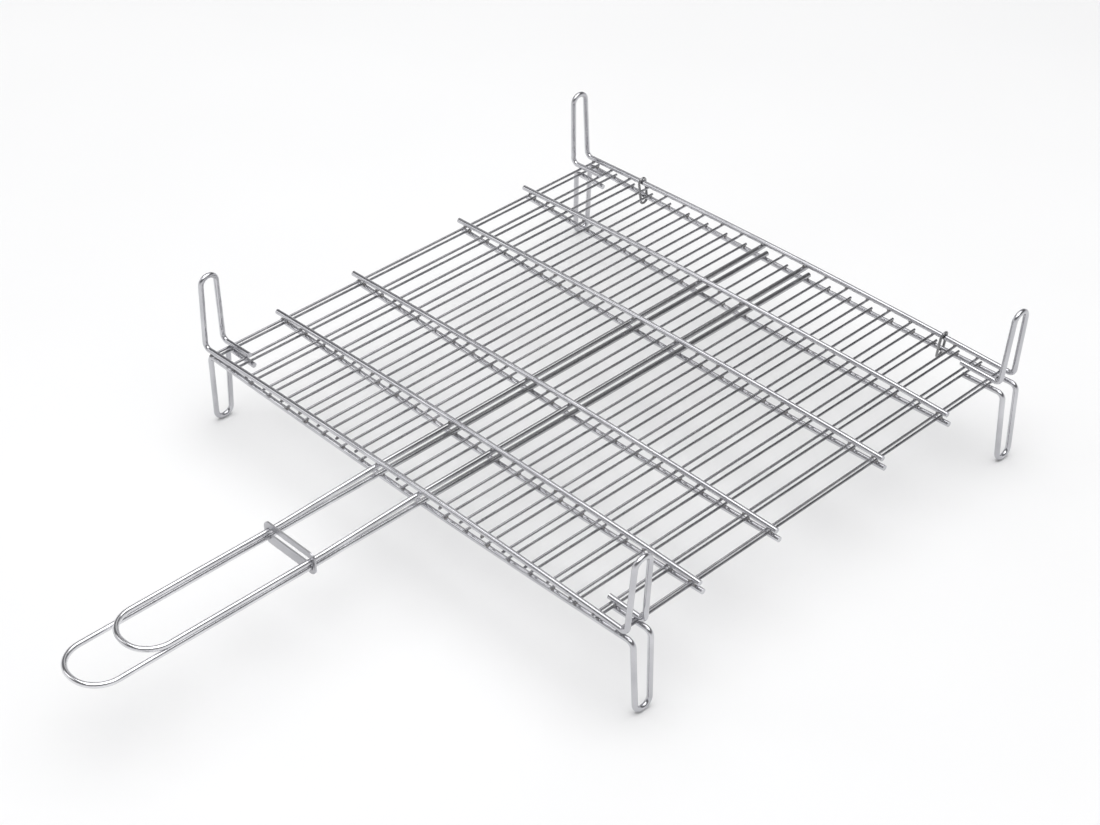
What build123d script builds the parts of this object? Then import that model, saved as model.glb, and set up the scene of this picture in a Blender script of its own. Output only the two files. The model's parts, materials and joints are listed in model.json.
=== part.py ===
"""Grill basket: two wire grates joined by loose rings, each with a long wire handle.

Millimetres. X runs across the basket, +Y from the handles toward the rings, Z up.
The origin is on the table, midway between the four legs that the basket stands on.
"""

from build123d import *
from dataclasses import dataclass
import math
import os

# Wires
FRAME_WIRE = 3.8            # edge wires with their legs, cross wires and handles
ROD_WIRE = 1.8              # thin rods that the food lies on
RING_WIRE = 1.9             # wire of the two hinge rings
END_CHAMFER = 0.25          # break on the cut end of a thin rod

# Grates
GRATE_WIDTH = 400.0         # over the cross wires, and between the bends of an even edge wire
GRATE_DEPTH = 367.0         # front edge wire to rear edge wire, centre to centre
CROSS_FROM_FRONT = (62.2, 131.2)
CROSS_FROM_REAR = (134.0, 67.5)
RODS_PER_SIDE = 9           # thin rods outside each handle arm; one more runs down the middle
SIDE_MARGIN = 7.4           # outermost rod to the end of a cross wire
ROD_OVERHANG = 2.5          # rod end beyond the centre of an edge wire
BOW = 3.2                   # how far a wire's ends stand nearer the food than its middle

# Grates face to face
FRONT_SPACING = 14.5        # lower to upper edge wire, centre to centre, at the middle
REAR_SPACING = 16.1
UPPER_FORWARD = 3.1         # the upper grate hangs this far toward the handles

# Legs, bent out of the ends of the edge wires
LEG_HEIGHT = 52.0           # middle of an edge wire to its feet, centre to centre
LEG_WIDTH = 15.0            # front bar to back bar of one leg, at the grate
FOOT_WIDTH = 12.5           # the same at the foot
LEG_BEND = 4.6              # bend radius on the centre line, at the grate
FOOT_BEND = 6.0
LEGS_OUTWARD = {            # how far out each leg's bend and foot stand, left leg and right leg
    "lower_front": ((0.0, 2.1), (2.2, 4.2)),
    "lower_rear": ((0.0, 1.5), (4.6, 6.4)),
    "upper_front": ((0.0, -0.7), (0.0, 4.0)),
    "upper_rear": ((0.0, 1.9), (3.0, 6.6)),
}
EDGE_LEAD = 12.0            # straight run between an edge wire's bow and its corner
STUB_PAST_ROD = 2.6         # welded end of a leg, past the second rod

# Handles
LOWER_REACH = 250.5         # front edge wire of the lower grate to the handle's tip
UPPER_REACH = 214.0
TIP_BEND = 19.0             # bend radius on the centre line
ARM_BEND = 45.0             # where the upper arms dip toward the lower ones
DIP_START = 7.0             # from the upper front wire to the first bend of the dip
HANDLE_GAP = 0.3            # between the upper and the lower arms

# Lock plate
LOCK_REACH = 91.0           # lower front edge wire to the plate
LOCK_BEHIND = 9.0           # from the plate back to the end of the dip
LOCK_WIDTH = 49.0
LOCK_HEIGHT = 16.0
LOCK_THICKNESS = 1.2
LOCK_CORNER = 4.8
LOCK_TOP_BAND = 4.3         # metal above the slit
LOCK_CLEARANCE = 0.3        # between the plate and each wire through it

# Hinge rings
RING_ROD = 6                # a ring hangs past this rod, counted out from the handle arm
RING_PAST_ROD = 6.7
RING_SIDE_CLEARANCE = 0.5   # between a ring's straight side and the wires
RING_TOP_CLEARANCE = 0.35   # between a ring and the upper wire that it hangs from
RING_SLACK = 5.2            # between a ring and the lower wire
LEFT_RING_TILT = 5.0        # sideways tilt of a ring, degrees
RIGHT_RING_TILT = 14.0

half_width = GRATE_WIDTH / 2
rod_limit = half_width - SIDE_MARGIN
rod_gap = (rod_limit - RODS_PER_SIDE * ROD_WIRE - FRAME_WIRE) / (RODS_PER_SIDE + 1)
arm_x = ROD_WIRE / 2 + rod_gap + FRAME_WIRE / 2
rod_pitch = rod_gap + ROD_WIRE
bow_radius = (half_width**2 + BOW**2) / (2 * BOW)
lower_height = LEG_HEIGHT + FRAME_WIRE / 2
first_rod_x = arm_x + FRAME_WIRE / 2 + rod_gap + ROD_WIRE / 2
ring_x = first_rod_x + (RING_ROD - 1) * rod_pitch + RING_PAST_ROD
lock_y = -GRATE_DEPTH / 2 - LOCK_REACH


@dataclass
class Grate:
    """One of the two grates; its height is that of its edge wires at the middle."""

    name: str
    food_side: int          # +1 with the food above the wires, -1 with the food below
    front_y: float
    front_height: float
    rear_height: float

    @property
    def rear_y(self):
        return self.front_y + GRATE_DEPTH

    def wire_height(self, x, y):
        """Centre height of an edge wire or cross wire, bowed toward the food."""
        share = (y - self.front_y) / GRATE_DEPTH
        flat = self.front_height + share * (self.rear_height - self.front_height)
        return flat + self.food_side * bow_rise(x)

    def laid_height(self, x, y, diameter):
        """Centre height of a wire that lies on the food side of the cross wires."""
        return self.wire_height(x, y) + self.food_side * (FRAME_WIRE + diameter) / 2


LOWER = Grate("lower", 1, -GRATE_DEPTH / 2, lower_height, lower_height)
UPPER = Grate(
    "upper",
    -1,
    -GRATE_DEPTH / 2 - UPPER_FORWARD,
    lower_height + FRONT_SPACING,
    lower_height + REAR_SPACING,
)


def bow_rise(x):
    return bow_radius - math.sqrt(bow_radius**2 - x**2)


def bow_slope(x):
    return x / math.sqrt(bow_radius**2 - x**2)


def bent_wire(path, diameter):
    """A round wire along a path, with its volume compared with section times length."""
    section = Plane(origin=path @ 0, z_dir=path % 0) * Circle(diameter / 2)
    wire = sweep(section, path=path)
    expected = math.pi * diameter**2 / 4 * path.length
    if abs(wire.volume / expected - 1) > 0.002:
        raise ValueError("a swept wire has the wrong volume")
    return wire


def straight_rod(start, end, diameter):
    direction = Vector(end) - Vector(start)
    section = Plane(origin=start, z_dir=direction) * Circle(diameter / 2)
    rod = extrude(section, amount=direction.length)
    return chamfer(rod.edges().filter_by(GeomType.CIRCLE), END_CHAMFER)


def cross_wire(grate, y):
    """A bowed wire from side to side, under the rods or above them."""
    left = (-half_width, y, grate.wire_height(half_width, y))
    middle = (0, y, grate.wire_height(0, y))
    right = (half_width, y, grate.wire_height(half_width, y))
    return bent_wire(Wire([ThreePointArc(left, middle, right)]), FRAME_WIRE)


def leg_path(grate, edge_y, inward, side, outward):
    """From the edge wire out and down one bar, round the foot, back up and in."""
    bend_outward, foot_outward = outward
    bend_x = half_width + bend_outward
    foot_x = half_width + foot_outward
    inboard_y = edge_y + inward * LEG_WIDTH
    taper = inward * (LEG_WIDTH - FOOT_WIDTH) / 2
    lead_x = half_width - EDGE_LEAD
    lead_height = grate.wire_height(lead_x, edge_y)
    corner_height = lead_height + grate.food_side * (bend_x - lead_x) * bow_slope(lead_x)
    foot_height = grate.wire_height(0, edge_y) - grate.food_side * LEG_HEIGHT
    outer_height = grate.wire_height(rod_limit, inboard_y)
    second_height = grate.wire_height(rod_limit - rod_pitch, inboard_y)
    stub_slope = (outer_height - second_height) / rod_pitch
    stub_x = rod_limit - rod_pitch - STUB_PAST_ROD
    points = [
        (lead_x, edge_y, lead_height),
        (bend_x, edge_y, corner_height),
        (foot_x, edge_y + taper, foot_height),
        (foot_x, inboard_y - taper, foot_height),
        (bend_x, inboard_y, outer_height + (bend_x - rod_limit) * stub_slope),
        (stub_x, inboard_y, second_height - STUB_PAST_ROD * stub_slope),
    ]
    radii = [LEG_BEND, FOOT_BEND, FOOT_BEND, LEG_BEND]
    return FilletPolyline(*[(side * x, y, z) for x, y, z in points], radius=radii)


def edge_wire(grate, edge_y, inward):
    """The front or rear wire of a grate, with the leg at each end, bent from one wire."""
    edge = "front" if inward > 0 else "rear"
    left_outward, right_outward = LEGS_OUTWARD[f"{grate.name}_{edge}"]
    left_leg = leg_path(grate, edge_y, inward, -1, left_outward)
    right_leg = leg_path(grate, edge_y, inward, 1, right_outward)
    middle = (0, edge_y, grate.wire_height(0, edge_y))
    bowed_edge = ThreePointArc(left_leg @ 0, middle, right_leg @ 0)
    path = Wire([*left_leg.edges(), bowed_edge, *right_leg.edges()])
    return bent_wire(path, FRAME_WIRE)


def thin_rod(grate, x):
    front_y = grate.front_y - ROD_OVERHANG
    rear_y = grate.rear_y + ROD_OVERHANG
    front = (x, front_y, grate.laid_height(x, front_y, ROD_WIRE))
    rear = (x, rear_y, grate.laid_height(x, rear_y, ROD_WIRE))
    return straight_rod(front, rear, ROD_WIRE)


def rod_places():
    """The x of each thin rod from left to right, with the handle arms' places left out."""
    outer = [first_rod_x + i * rod_pitch for i in range(RODS_PER_SIDE)]
    return [-x for x in reversed(outer)] + [0.0] + outer


def handle(grate, arm_points, tip_y, tip_height):
    """One wire: up the left arm from the rear wire, round the tip and back."""
    rear_y = grate.rear_y + ROD_OVERHANG
    arm = [(rear_y, grate.laid_height(arm_x, rear_y, FRAME_WIRE)), *arm_points]
    left = [(-arm_x, y, z) for y, z in arm] + [(-arm_x, tip_y, tip_height)]
    right = [(-x, y, z) for x, y, z in reversed(left)]
    radii = [ARM_BEND] * len(arm_points) + [TIP_BEND] * 2 + [ARM_BEND] * len(arm_points)
    return bent_wire(Wire(FilletPolyline(*left, *right, radius=radii).edges()), FRAME_WIRE)


def lower_handle():
    tip_height = LOWER.laid_height(arm_x, LOWER.rear_y, FRAME_WIRE)
    return handle(LOWER, [], LOWER.front_y - LOWER_REACH, tip_height)


def upper_arm_height():
    """Centre height of the upper arms where they lie on the lower ones."""
    return LOWER.laid_height(arm_x, LOWER.front_y, FRAME_WIRE) + FRAME_WIRE + HANDLE_GAP


def upper_handle():
    """The arms leave the grate level, dip, and run above the lower arms to the tip."""
    dip_y = UPPER.front_y - DIP_START
    dip = (dip_y, UPPER.laid_height(arm_x, dip_y, FRAME_WIRE))
    level = (lock_y + LOCK_BEHIND, upper_arm_height())
    return handle(UPPER, [dip, level], LOWER.front_y - UPPER_REACH, upper_arm_height())


def lock_plate():
    """A flat plate across both handles, with a slit for the upper tip and two pockets."""
    opening = FRAME_WIRE + 2 * LOCK_CLEARANCE
    upper_height = upper_arm_height()
    lower_arm = upper_height - FRAME_WIRE - HANDLE_GAP
    top = upper_height + opening / 2 + LOCK_TOP_BAND
    slit_y = upper_height - (top - LOCK_HEIGHT / 2)
    pocket_y = slit_y - (upper_height - lower_arm) / 2
    pocket_length = opening + upper_height - lower_arm
    plate = RectangleRounded(LOCK_WIDTH, LOCK_HEIGHT, LOCK_CORNER)
    plate -= Pos(0, slit_y) * Rectangle(2 * arm_x, opening)
    for side in (-1, 1):
        plate -= Pos(side * arm_x, pocket_y) * SlotOverall(pocket_length, opening, rotation=90)
    face = Plane(origin=(0, lock_y, top - LOCK_HEIGHT / 2), x_dir=(1, 0, 0), z_dir=(0, -1, 0))
    return extrude(face * plate, amount=LOCK_THICKNESS / 2, both=True)


def ring_frame():
    """Where the rear wires pass through the rings, and how a ring leans between them."""
    lower = (LOWER.rear_y, LOWER.wire_height(ring_x, LOWER.rear_y))
    upper = (UPPER.rear_y, UPPER.wire_height(ring_x, UPPER.rear_y))
    distance = math.dist(lower, upper)
    lean = math.degrees(math.atan2(lower[0] - upper[0], upper[1] - lower[1]))
    return lower, upper, distance, lean


def hinge_ring(side, tilt):
    """An oval ring round both rear wires, with room for each of them to turn."""
    lower, upper, distance, lean = ring_frame()
    inner_width = FRAME_WIRE + 2 * RING_SIDE_CLEARANCE
    inner_length = distance + FRAME_WIRE + RING_TOP_CLEARANCE + RING_SLACK
    centre_up = (distance + RING_TOP_CLEARANCE - RING_SLACK) / 2
    tilted_length = inner_length / math.cos(math.radians(tilt))
    width = inner_width + RING_WIRE
    length = tilted_length + RING_WIRE
    outline = Plane.XZ * SlotOverall(length, width, rotation=90)
    ring = bent_wire(outline.wire(), RING_WIRE)
    across = Rot(Z=90) * ring
    at_lower_wire = Pos(side * ring_x, lower[0], lower[1])
    return at_lower_wire * Rot(X=lean) * Pos(0, 0, centre_up) * Rot(Y=tilt) * across


def grate_parts(grate):
    parts = {
        "front_wire": edge_wire(grate, grate.front_y, 1),
        "rear_wire": edge_wire(grate, grate.rear_y, -1),
    }
    places = [grate.front_y + d for d in CROSS_FROM_FRONT]
    places += [grate.rear_y - d for d in CROSS_FROM_REAR]
    for number, y in enumerate(places, 1):
        parts[f"cross_wire_{number}"] = cross_wire(grate, y)
    for number, x in enumerate(rod_places(), 1):
        parts[f"rod_{number:02d}"] = thin_rod(grate, x)
    return {f"{grate.name}_{name}": shape for name, shape in parts.items()}


def all_parts():
    parts = grate_parts(LOWER)
    parts["lower_handle"] = lower_handle()
    parts.update(grate_parts(UPPER))
    parts["upper_handle"] = upper_handle()
    parts["hinge_ring_left"] = hinge_ring(-1, LEFT_RING_TILT)
    parts["hinge_ring_right"] = hinge_ring(1, RIGHT_RING_TILT)
    parts["lock_plate"] = lock_plate()
    return parts


def print_motion():
    """The hinge lines and angles that open the basket flat onto all eight legs."""
    lower, upper, distance, lean = ring_frame()
    pitch = math.degrees(math.atan((REAR_SPACING - FRONT_SPACING) / GRATE_DEPTH))
    print("lower hinge line y, z", lower)
    print("upper hinge line y, z", upper)
    print("rings at x", ring_x)
    print("ring turns", 90 + lean, "upper grate turns on it", 90 - lean + pitch)
    print("handle arms at x", arm_x, "rod gap", rod_gap)
    print("lower arms at z", LOWER.laid_height(arm_x, 0, FRAME_WIRE))
    print("upper arms at z", upper_arm_height(), "lock at y", lock_y)


os.makedirs("parts", exist_ok=True)
for node, shape in all_parts().items():
    export_step(shape, f"parts/{node}.step")
print_motion()
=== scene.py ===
"""Grill basket: plated wire materials, weld beads, floor, lights and camera."""

import json
import math
import random

import bpy
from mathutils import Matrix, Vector


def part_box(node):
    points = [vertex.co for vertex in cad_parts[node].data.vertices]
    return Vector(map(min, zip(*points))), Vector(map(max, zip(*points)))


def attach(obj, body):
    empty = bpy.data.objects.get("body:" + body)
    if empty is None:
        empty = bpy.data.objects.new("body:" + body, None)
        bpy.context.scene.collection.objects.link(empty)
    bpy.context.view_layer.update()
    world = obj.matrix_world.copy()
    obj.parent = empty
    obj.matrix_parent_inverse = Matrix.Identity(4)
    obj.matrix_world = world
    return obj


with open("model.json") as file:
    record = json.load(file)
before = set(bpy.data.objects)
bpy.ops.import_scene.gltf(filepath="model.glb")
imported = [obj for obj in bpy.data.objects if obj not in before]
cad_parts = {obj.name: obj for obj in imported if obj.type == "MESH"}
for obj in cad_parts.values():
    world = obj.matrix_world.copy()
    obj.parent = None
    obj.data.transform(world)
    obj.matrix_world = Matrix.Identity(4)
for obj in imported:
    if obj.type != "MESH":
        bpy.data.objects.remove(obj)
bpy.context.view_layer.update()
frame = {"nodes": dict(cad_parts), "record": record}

# Camera: places in metres, lens and sensor in millimetres
CAMERA_PLACE = (0.8505, -0.8804)        # x and y
CAMERA_ABOVE_WIRE = 0.8787              # above the centre of lower_cross_wire_1
AIM_PLACE = (0.00545, -0.0595)           # x and y, at the height of that wire
CAMERA_LENS = 72.61
CAMERA_SENSOR = 36.0

# Weld beads, half sizes in metres
BEAD_LENGTH = 0.0017                    # along the rod
BEAD_WIDTH = 0.0014                     # along the cross wire
BEAD_HEIGHT = 0.0007
BEAD_RINGS = 6
BEAD_SEGMENTS = 12
BEAD_VARIATION = 0.25                   # of a bead's size, either way
BEAD_SEED = 5

CROSS_WIRES = ("front_wire", "cross_wire_1", "cross_wire_2",
               "cross_wire_3", "cross_wire_4", "rear_wire")
ROD_COUNT = 19
MIDDLE_ROD = 10

# Plated wire. A pair of limits is where a noise starts and ends its effect
CLOUD_SCALE = 38.0
DRAWING_SCALE = 900.0
GRAIN_SCALE = 2600.0
SPECK_SCALE = 420.0
CLOUD_LIMITS = (0.35, 0.68)             # from dark to light plating
POLISH_LIMITS = (0.3, 0.7)              # from rough to smooth plating
SPECK_LIMITS = (0.66, 0.78)             # from sound plating to a dull speck
SPECK_SHADE = 0.55                      # of the dark plating's colour
SPECK_ROUGHNESS = 0.3                   # added where there is a speck
DRAWING_BUMP = (0.22, 0.00004)          # strength, and distance in metres
GRAIN_BUMP = (0.12, 0.00002)

# The handle arms inside the grates get a painted shade: a darker colour that dims their reflection
# there
GRATE_FRONT_Y = -0.185                  # where the arms enter the grates
FADE_BEFORE = 0.01
FADE_AFTER = 0.03
GRATE_SHADE_COLOUR = (0.40, 0.40, 0.41)

# Surroundings, in metres and watts
FLOOR_HALF = 6.0
WORLD_PALE = (0.90, 0.90, 0.91)
WORLD_DIM = (0.16, 0.16, 0.165)
WORLD_FADE = (0.12, 0.38)               # height of a direction: 0 is level, 1 straight up
LIGHTS = (                              # name, place, aim, size, power
    ("overhead", (0.1, -0.1, 2.5), (0, 0, 0), (3.2, 3.2), 82),
    ("behind_left", (-1.25, 1.15, 1.65), (0, 0, 0.05), (1.2, 1.4), 2.5),
    ("front_left", (-1.7, -1.5, 1.5), (0, 0, 0.05), (0.9, 1.2), 5),
)


# ---------------------------------------------------------------- materials

def new_material(name):
    material = bpy.data.materials.new(name)
    material.use_nodes = True
    nodes = material.node_tree.nodes
    links = material.node_tree.links
    nodes.clear()
    output = nodes.new("ShaderNodeOutputMaterial")
    shader = nodes.new("ShaderNodeBsdfPrincipled")
    links.new(shader.outputs["BSDF"], output.inputs["Surface"])
    return material, nodes, links, shader


def noise(nodes, links, vector, scale, detail, roughness=0.5):
    texture = nodes.new("ShaderNodeTexNoise")
    texture.inputs["Scale"].default_value = scale
    texture.inputs["Detail"].default_value = detail
    texture.inputs["Roughness"].default_value = roughness
    links.new(vector, texture.inputs["Vector"])
    return texture.outputs["Fac"]


def stretched(nodes, links, vector, scale):
    mapping = nodes.new("ShaderNodeMapping")
    mapping.inputs["Scale"].default_value = scale
    links.new(vector, mapping.inputs["Vector"])
    return mapping.outputs["Vector"]


def ramp(nodes, links, value, low, high, low_colour, high_colour):
    node = nodes.new("ShaderNodeValToRGB")
    node.color_ramp.elements[0].position = low
    node.color_ramp.elements[0].color = (*low_colour, 1)
    node.color_ramp.elements[1].position = high
    node.color_ramp.elements[1].color = (*high_colour, 1)
    links.new(value, node.inputs["Fac"])
    return node.outputs["Color"]


def remap(nodes, links, value, low, high, to_low, to_high):
    node = nodes.new("ShaderNodeMapRange")
    node.inputs["From Min"].default_value = low
    node.inputs["From Max"].default_value = high
    node.inputs["To Min"].default_value = to_low
    node.inputs["To Max"].default_value = to_high
    links.new(value, node.inputs["Value"])
    return node.outputs["Result"]


def mixed(nodes, links, share, colour, other):
    node = nodes.new("ShaderNodeMix")
    node.data_type = "RGBA"
    links.new(share, node.inputs["Factor"])
    links.new(colour, node.inputs["A"])
    node.inputs["B"].default_value = (*other, 1)
    return node.outputs["Result"]


def added(nodes, links, value, extra, times):
    node = nodes.new("ShaderNodeMath")
    node.operation = "MULTIPLY_ADD"
    links.new(extra, node.inputs[0])
    node.inputs[1].default_value = times
    links.new(value, node.inputs[2])
    return node.outputs["Value"]


def bump(nodes, links, height, strength, distance, normal=None):
    node = nodes.new("ShaderNodeBump")
    node.inputs["Strength"].default_value = strength
    node.inputs["Distance"].default_value = distance
    links.new(height, node.inputs["Height"])
    if normal is not None:
        links.new(normal, node.inputs["Normal"])
    return node.outputs["Normal"]


def plated_wire(name, along, dark, light, rough_low, rough_high, shade_inside_grate=False):
    """Bright plating over drawn wire: faint clouding, drawing lines, fine grain, dull specks.

    Where asked, the wire gets a painted shade inside the grate: a darker colour, from where the
    handle arms enter it to its rear, that dims its reflection there.
    """
    material, nodes, links, shader = new_material(name)
    place = nodes.new("ShaderNodeTexCoord").outputs["Object"]
    clouds = noise(nodes, links, place, CLOUD_SCALE, 3.0)
    lines = noise(nodes, links, stretched(nodes, links, place, along), DRAWING_SCALE, 2.0)
    grain = noise(nodes, links, place, GRAIN_SCALE, 2.0)
    specks = noise(nodes, links, place, SPECK_SCALE, 4.0, 0.7)
    plating = ramp(nodes, links, clouds, *CLOUD_LIMITS, dark, light)
    # painted shade: a darker colour inside the grate, to dim the reflection there
    if shade_inside_grate:
        split = nodes.new("ShaderNodeSeparateXYZ")
        links.new(place, split.inputs["Vector"])
        inside = remap(nodes, links, split.outputs["Y"],
                       GRATE_FRONT_Y - FADE_BEFORE, GRATE_FRONT_Y + FADE_AFTER, 0.0, 1.0)
        plating = mixed(nodes, links, inside, plating, GRATE_SHADE_COLOUR)
    dull = tuple(SPECK_SHADE * part for part in dark)
    worn = remap(nodes, links, specks, *SPECK_LIMITS, 0.0, 1.0)
    links.new(mixed(nodes, links, worn, plating, dull), shader.inputs["Base Color"])
    polish = remap(nodes, links, clouds, *POLISH_LIMITS, rough_high, rough_low)
    links.new(added(nodes, links, polish, worn, SPECK_ROUGHNESS), shader.inputs["Roughness"])
    drawn = bump(nodes, links, lines, *DRAWING_BUMP)
    links.new(bump(nodes, links, grain, *GRAIN_BUMP, drawn), shader.inputs["Normal"])
    shader.inputs["Metallic"].default_value = 1.0
    return material


def weld_material():
    """Dull grey weld metal, browned a little by the heat, with a coarse skin."""
    material, nodes, links, shader = new_material("weld_metal")
    place = nodes.new("ShaderNodeTexCoord").outputs["Object"]
    heat = noise(nodes, links, place, 260.0, 3.0)
    skin = noise(nodes, links, place, 1800.0, 3.0)
    colour = ramp(nodes, links, heat, 0.35, 0.65, (0.22, 0.21, 0.20), (0.34, 0.33, 0.33))
    links.new(colour, shader.inputs["Base Color"])
    links.new(remap(nodes, links, skin, 0.3, 0.7, 0.34, 0.55), shader.inputs["Roughness"])
    links.new(bump(nodes, links, skin, 0.4, 0.00008), shader.inputs["Normal"])
    shader.inputs["Metallic"].default_value = 1.0
    return material


def floor_material():
    material, nodes, links, shader = new_material("pale_floor")
    place = nodes.new("ShaderNodeTexCoord").outputs["Object"]
    faint = noise(nodes, links, place, 3.0, 2.0)
    colour = ramp(nodes, links, faint, 0.3, 0.7, (0.88, 0.88, 0.88), (0.9, 0.9, 0.9))
    links.new(colour, shader.inputs["Base Color"])
    shader.inputs["Roughness"].default_value = 0.9
    shader.inputs["Specular IOR Level"].default_value = 0.1
    return material


def make_materials():
    along_x = (0.02, 1.0, 1.0)
    along_y = (1.0, 0.02, 1.0)
    every_way = (1.0, 1.0, 1.0)
    bright = (0.50, 0.50, 0.525), (0.62, 0.62, 0.645)
    handle = (0.64, 0.64, 0.66), (0.78, 0.78, 0.80)
    thin = (0.30, 0.30, 0.315), (0.42, 0.42, 0.435)
    dim = (0.20, 0.20, 0.205), (0.32, 0.32, 0.325)
    sheet = (0.44, 0.44, 0.46), (0.54, 0.54, 0.56)
    return {
        "frame_wire": plated_wire("plated_frame", along_x, *bright, 0.12, 0.22),
        # the handle arms get a painted shade inside the grates
        "handle_wire": plated_wire("plated_handle", along_y, *handle, 0.11, 0.20, shade_inside_grate=True),
        "rod_wire": plated_wire("plated_rod", along_y, *thin, 0.16, 0.28),
        "ring_wire": plated_wire("plated_ring", every_way, *dim, 0.20, 0.34),
        "lock_plate": plated_wire("plated_sheet", along_x, *sheet, 0.22, 0.36),
    }


def dress_nodes(materials):
    slots = {part["node"]: part["material_slot"] for part in frame["record"]["subparts"]}
    for name, thing in frame["nodes"].items():
        thing.data.materials.clear()
        thing.data.materials.append(materials[slots[name]])
        for face in thing.data.polygons:
            face.material_index = 0
            face.use_smooth = True


# ---------------------------------------------------------------- weld beads

def bead(centre, sizes, vertices, faces):
    """A small rounded lump, as rings of points from its lowest to its highest point."""
    start = len(vertices)
    for ring in range(BEAD_RINGS + 1):
        up = math.pi * (ring / BEAD_RINGS - 0.5)
        for step in range(BEAD_SEGMENTS):
            turn = math.tau * step / BEAD_SEGMENTS
            shape = (math.cos(up) * math.cos(turn), math.cos(up) * math.sin(turn), math.sin(up))
            vertices.append([c + s * part for c, s, part in zip(centre, sizes, shape)])
    for ring in range(BEAD_RINGS):
        for step in range(BEAD_SEGMENTS):
            low = start + ring * BEAD_SEGMENTS
            after = (step + 1) % BEAD_SEGMENTS
            high = low + BEAD_SEGMENTS
            faces.append((low + step, low + after, high + after, high + step))


def middle(box, axis):
    return (box[0][axis] + box[1][axis]) / 2


def wire_radius(cross_wire):
    """A cross wire's radius, from its box."""
    return (cross_wire[1][1] - cross_wire[0][1]) / 2


def rod_line(grate, number):
    """A rod's x and its radius, and a function that gives its centre height at a given y."""
    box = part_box(f"{grate}_rod_{number:02d}")
    radius = (box[1][0] - box[0][0]) / 2
    front, rear = box[0][2] + radius, box[1][2] - radius

    def height(y):
        return front + (rear - front) * (y - box[0][1]) / (box[1][1] - box[0][1])

    return middle(box, 0), radius, height


def wire_row(grate, wire):
    """The y of a cross wire, or of the straight part of an edge wire."""
    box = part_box(f"{grate}_{wire}")
    radius = wire_radius(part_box(f"{grate}_cross_wire_1"))
    if wire == "front_wire":
        return box[0][1] + radius
    if wire == "rear_wire":
        return box[1][1] - radius
    return middle(box, 1)


def weld_beads(grate, food_side, material):
    """One bead at each wire that a rod or handle arm is welded to, on its side away from the food.

    food_side is 1 where the food lies above the rods, and -1 where it lies below them.
    """
    chance = random.Random(BEAD_SEED)
    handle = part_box(f"{grate}_handle")
    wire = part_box(f"{grate}_cross_wire_1")
    arm_x = handle[1][0] - wire_radius(wire)
    lines = [rod_line(grate, number) for number in range(1, ROD_COUNT + 1)]
    # the arms rest on the wires at the same height as the middle rod does
    _, middle_radius, middle_height = rod_line(grate, MIDDLE_ROD)
    lines += [(side * arm_x, middle_radius, middle_height) for side in (-1, 1)]
    vertices, faces = [], []
    for x, radius, height in lines:
        for name in CROSS_WIRES:
            y = wire_row(grate, name)
            scale = 1 + BEAD_VARIATION * chance.uniform(-1, 1)
            sizes = (BEAD_WIDTH * scale, BEAD_LENGTH * scale, BEAD_HEIGHT * scale)
            bead((x, y, height(y) - food_side * radius), sizes, vertices, faces)
    mesh = bpy.data.meshes.new(f"{grate}_weld_beads")
    mesh.from_pydata(vertices, [], faces)
    mesh.materials.append(material)
    for face in mesh.polygons:
        face.use_smooth = True
    mesh.update()
    thing = bpy.data.objects.new(f"{grate}_weld_beads", mesh)
    bpy.context.scene.collection.objects.link(thing)
    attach(thing, f"{grate}_grate")


# ---------------------------------------------------------------- surroundings

def floor():
    mesh = bpy.data.meshes.new("floor")
    corners = [(x * FLOOR_HALF, y * FLOOR_HALF, 0) for x, y in ((-1, -1), (1, -1), (1, 1), (-1, 1))]
    mesh.from_pydata(corners, [], [(0, 1, 2, 3)])
    mesh.materials.append(floor_material())
    thing = bpy.data.objects.new("floor", mesh)
    bpy.context.scene.collection.objects.link(thing)


def area_light(name, at, aim, size, power):
    light = bpy.data.lights.new(name, "AREA")
    light.shape = "RECTANGLE"
    light.size, light.size_y = size
    light.energy = power
    thing = bpy.data.objects.new(name, light)
    thing.location = at
    thing.rotation_euler = (Vector(aim) - Vector(at)).to_track_quat("-Z", "Y").to_euler()
    bpy.context.scene.collection.objects.link(thing)


def studio_world():
    """Pale low down, like the walls of a studio, and dim overhead between the lights."""
    world = bpy.data.worlds.new("studio")
    world.use_nodes = True
    nodes = world.node_tree.nodes
    links = world.node_tree.links
    direction = nodes.new("ShaderNodeTexCoord").outputs["Generated"]
    split = nodes.new("ShaderNodeSeparateXYZ")
    links.new(direction, split.inputs["Vector"])
    colour = ramp(nodes, links, split.outputs["Z"], *WORLD_FADE, WORLD_PALE, WORLD_DIM)
    links.new(colour, nodes["Background"].inputs["Color"])
    bpy.context.scene.world = world


def lights():
    studio_world()
    for name, at, aim, size, power in LIGHTS:
        area_light(name, at, aim, size, power)


def camera():
    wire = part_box("lower_cross_wire_1")
    wire_height = wire[0][2] + wire_radius(wire)
    at = Vector((*CAMERA_PLACE, wire_height + CAMERA_ABOVE_WIRE))
    aim = Vector((*AIM_PLACE, wire_height))
    lens = bpy.data.cameras.new("camera")
    lens.lens = CAMERA_LENS
    lens.sensor_width = CAMERA_SENSOR
    lens.sensor_fit = "HORIZONTAL"
    thing = bpy.data.objects.new("camera", lens)
    thing.location = at
    thing.rotation_euler = (aim - at).to_track_quat("-Z", "Y").to_euler()
    bpy.context.scene.collection.objects.link(thing)
    bpy.context.scene.camera = thing


bpy.context.scene.view_settings.view_transform = "Standard"
dress_nodes(make_materials())
weld_metal = weld_material()
weld_beads("lower", 1, weld_metal)
weld_beads("upper", -1, weld_metal)
floor()
lights()
camera()
bpy.context.view_layer.update()
